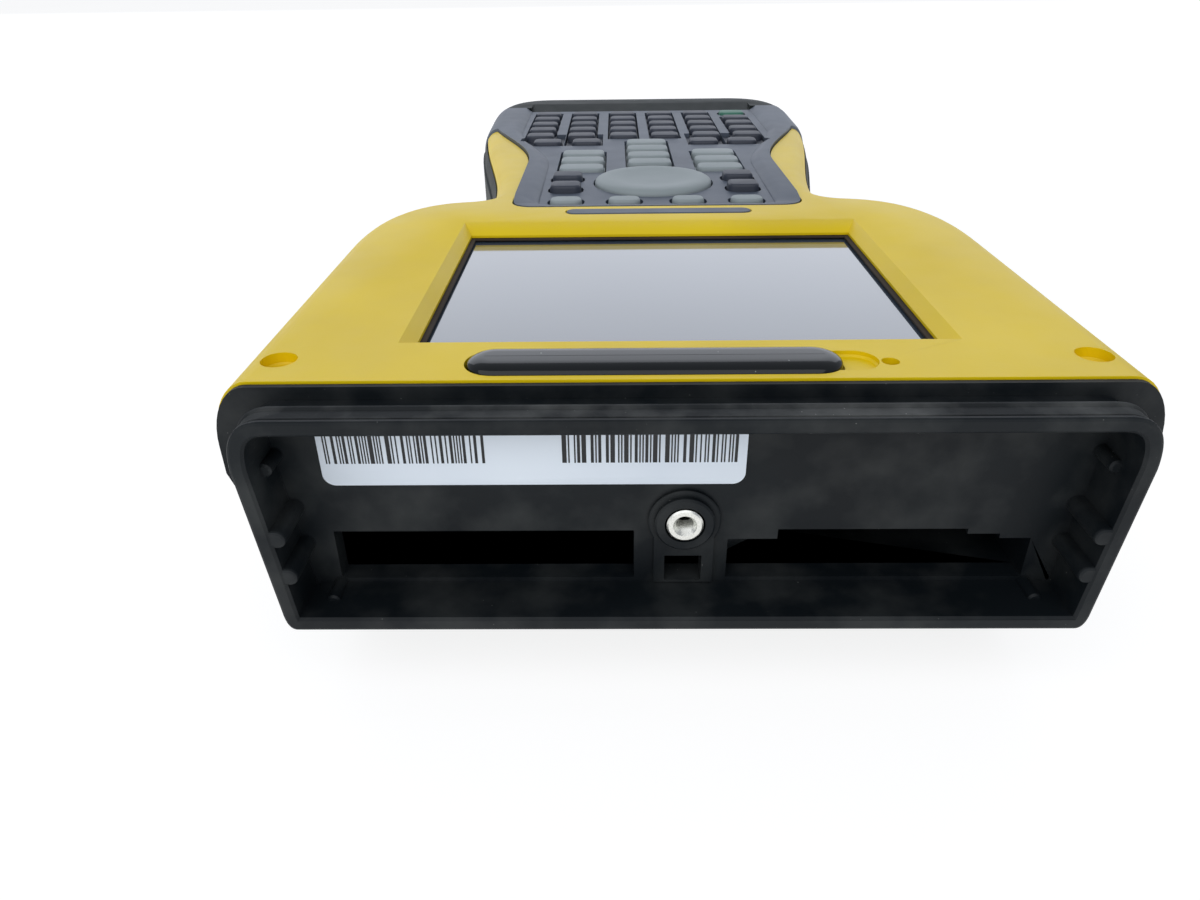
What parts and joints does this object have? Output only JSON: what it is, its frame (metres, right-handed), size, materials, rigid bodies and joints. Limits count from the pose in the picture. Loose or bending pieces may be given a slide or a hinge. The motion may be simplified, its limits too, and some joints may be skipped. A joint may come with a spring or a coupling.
{
  "type": "data collector",
  "caption": "Rugged handheld surveying data collector with a display, a sunken keypad in an hourglass case and an open card bay.",
  "frame": {"origin": "middle of the rectangle under the device, on the surface that its back rests on", "axes": "+Z out of the display, +Y from the card bay to the keypad end, +X to the right seen from above with the card bay nearest"},
  "size_m": [0.13, 0.266, 0.0481],
  "materials": {
    "yellow": "moulded satin",
    "black": "moulded satin",
    "rubber": "matt",
    "boot": "moulded satin",
    "grey": "moulded satin",
    "key_light": "matt",
    "key_dark": "matt",
    "key_green": "matt",
    "gloss_black": "polished",
    "screen": "glossy",
    "board": "laminate",
    "steel": "turned",
    "contact": "plated",
    "label": "printed",
    "cell": "wrapped"
  },
  "bodies": {
    "root": {"front_case": "yellow", "rear_case": "black", "door_hinge_pin": "steel", "case_screw_1": "steel", "case_screw_2": "steel", "case_screw_3": "steel", "case_screw_4": "steel", "case_screw_5": "steel", "case_screw_6": "steel", "battery_pack": "cell", "battery_contacts": "contact", "card_bay_frame": "black", "neck_gasket": "rubber", "threaded_insert": "steel", "rating_label": "label", "card_socket_left": "black", "card_socket_right": "black", "memory_card_socket": "steel", "display_gasket": "rubber", "touch_panel": "screen", "display_module": "grey", "name_plate": "gloss_black", "keypad_badge": "grey", "microphone": "steel", "keypad_surround": "grey", "keypad_mat": "rubber", "keypad_board": "board", "main_board": "board", "speaker": "steel", "end_boot": "boot", "serial_connector": "steel", "usb_port": "steel", "power_jack": "black"},
    "navigation_pad": {"navigation_pad": "key_light"},
    "function_key_1": {"function_key_1": "key_light"},
    "function_key_2": {"function_key_2": "key_light"},
    "function_key_3": {"function_key_3": "key_light"},
    "function_key_4": {"function_key_4": "key_light"},
    "side_key_left_near": {"side_key_left_near": "key_dark"},
    "side_key_left_far": {"side_key_left_far": "key_dark"},
    "side_key_right_near": {"side_key_right_near": "key_dark"},
    "side_key_right_far": {"side_key_right_far": "key_dark"},
    "number_keys_left": {"number_keys_left": "key_light"},
    "number_keys_middle": {"number_keys_middle": "key_light"},
    "number_keys_right": {"number_keys_right": "key_light"},
    "letter_keys_1": {"letter_keys_1": "key_dark"},
    "letter_keys_2": {"letter_keys_2": "key_dark"},
    "letter_keys_3": {"letter_keys_3": "key_dark"},
    "letter_keys_4": {"letter_keys_4": "key_dark"},
    "letter_keys_5": {"letter_keys_5": "key_dark"},
    "letter_keys_6": {"letter_keys_6": "key_dark"},
    "power_key": {"power_key": "key_green"},
    "battery_door": {"battery_door": "black"},
    "door_screw_1": {"door_screw_1": "steel"},
    "door_screw_2": {"door_screw_2": "steel"},
    "power_cover": {"power_cover": "rubber"},
    "serial_cover": {"serial_cover": "rubber"},
    "usb_cover": {"usb_cover": "rubber"},
    "stylus": {"stylus": "black"}
  },
  "joints": [
    {"name": "navigation_pad_press", "type": "slide", "parent": "root", "child": "navigation_pad", "axis": [0, 0, -1], "range_m": [0, 0.0008], "stiffness_N_per_m": 1200, "springref_m": -0.0006},
    {"name": "function_key_1_press", "type": "slide", "parent": "root", "child": "function_key_1", "axis": [0, 0, -1], "range_m": [0, 0.0008], "stiffness_N_per_m": 1200, "springref_m": -0.0006},
    {"name": "function_key_2_press", "type": "slide", "parent": "root", "child": "function_key_2", "axis": [0, 0, -1], "range_m": [0, 0.0008], "stiffness_N_per_m": 1200, "springref_m": -0.0006},
    {"name": "function_key_3_press", "type": "slide", "parent": "root", "child": "function_key_3", "axis": [0, 0, -1], "range_m": [0, 0.0008], "stiffness_N_per_m": 1200, "springref_m": -0.0006},
    {"name": "function_key_4_press", "type": "slide", "parent": "root", "child": "function_key_4", "axis": [0, 0, -1], "range_m": [0, 0.0008], "stiffness_N_per_m": 1200, "springref_m": -0.0006},
    {"name": "side_key_left_near_press", "type": "slide", "parent": "root", "child": "side_key_left_near", "axis": [0, 0, -1], "range_m": [0, 0.0008], "stiffness_N_per_m": 1200, "springref_m": -0.0006},
    {"name": "side_key_left_far_press", "type": "slide", "parent": "root", "child": "side_key_left_far", "axis": [0, 0, -1], "range_m": [0, 0.0008], "stiffness_N_per_m": 1200, "springref_m": -0.0006},
    {"name": "side_key_right_near_press", "type": "slide", "parent": "root", "child": "side_key_right_near", "axis": [0, 0, -1], "range_m": [0, 0.0008], "stiffness_N_per_m": 1200, "springref_m": -0.0006},
    {"name": "side_key_right_far_press", "type": "slide", "parent": "root", "child": "side_key_right_far", "axis": [0, 0, -1], "range_m": [0, 0.0008], "stiffness_N_per_m": 1200, "springref_m": -0.0006},
    {"name": "number_keys_left_press", "type": "slide", "parent": "root", "child": "number_keys_left", "axis": [0, 0, -1], "range_m": [0, 0.0008], "stiffness_N_per_m": 1200, "springref_m": -0.0006},
    {"name": "number_keys_middle_press", "type": "slide", "parent": "root", "child": "number_keys_middle", "axis": [0, 0, -1], "range_m": [0, 0.0008], "stiffness_N_per_m": 1200, "springref_m": -0.0006},
    {"name": "number_keys_right_press", "type": "slide", "parent": "root", "child": "number_keys_right", "axis": [0, 0, -1], "range_m": [0, 0.0008], "stiffness_N_per_m": 1200, "springref_m": -0.0006},
    {"name": "letter_keys_1_press", "type": "slide", "parent": "root", "child": "letter_keys_1", "axis": [0, 0, -1], "range_m": [0, 0.0008], "stiffness_N_per_m": 1200, "springref_m": -0.0006},
    {"name": "letter_keys_2_press", "type": "slide", "parent": "root", "child": "letter_keys_2", "axis": [0, 0, -1], "range_m": [0, 0.0008], "stiffness_N_per_m": 1200, "springref_m": -0.0006},
    {"name": "letter_keys_3_press", "type": "slide", "parent": "root", "child": "letter_keys_3", "axis": [0, 0, -1], "range_m": [0, 0.0008], "stiffness_N_per_m": 1200, "springref_m": -0.0006},
    {"name": "letter_keys_4_press", "type": "slide", "parent": "root", "child": "letter_keys_4", "axis": [0, 0, -1], "range_m": [0, 0.0008], "stiffness_N_per_m": 1200, "springref_m": -0.0006},
    {"name": "letter_keys_5_press", "type": "slide", "parent": "root", "child": "letter_keys_5", "axis": [0, 0, -1], "range_m": [0, 0.0008], "stiffness_N_per_m": 1200, "springref_m": -0.0006},
    {"name": "letter_keys_6_press", "type": "slide", "parent": "root", "child": "letter_keys_6", "axis": [0, 0, -1], "range_m": [0, 0.0008], "stiffness_N_per_m": 1200, "springref_m": -0.0006},
    {"name": "power_key_press", "type": "slide", "parent": "root", "child": "power_key", "axis": [0, 0, -1], "range_m": [0, 0.0008], "stiffness_N_per_m": 1200, "springref_m": -0.0006},
    {"name": "battery_door_hinge", "type": "hinge", "parent": "root", "child": "battery_door", "pos_m": [0, 0.0044, 0.0024], "axis": [1, 0, 0], "range_deg": [0, 90]},
    {"name": "door_screw_1_turn", "type": "hinge", "parent": "battery_door", "child": "door_screw_1", "pos_m": [-0.018, -0.065, 0.001], "axis": [0, 0, -1], "range_deg": [0, 90]},
    {"name": "door_screw_2_turn", "type": "hinge", "parent": "battery_door", "child": "door_screw_2", "pos_m": [0.018, -0.065, 0.001], "axis": [0, 0, -1], "range_deg": [0, 90]},
    {"name": "power_cover_hinge", "type": "hinge", "parent": "root", "child": "power_cover", "pos_m": [-0.02575, 0.1316, 0.0242], "axis": [-1, 0, 0], "range_deg": [0, 90]},
    {"name": "serial_cover_hinge", "type": "hinge", "parent": "root", "child": "serial_cover", "pos_m": [0, 0.1316, 0.0242], "axis": [-1, 0, 0], "range_deg": [0, 90]},
    {"name": "usb_cover_hinge", "type": "hinge", "parent": "root", "child": "usb_cover", "pos_m": [0.02575, 0.1316, 0.0242], "axis": [-1, 0, 0], "range_deg": [0, 90]},
    {"name": "stylus_slide", "type": "slide", "parent": "root", "child": "stylus", "axis": [0, 1, 0], "range_m": [0, 0.085]}
  ]
}
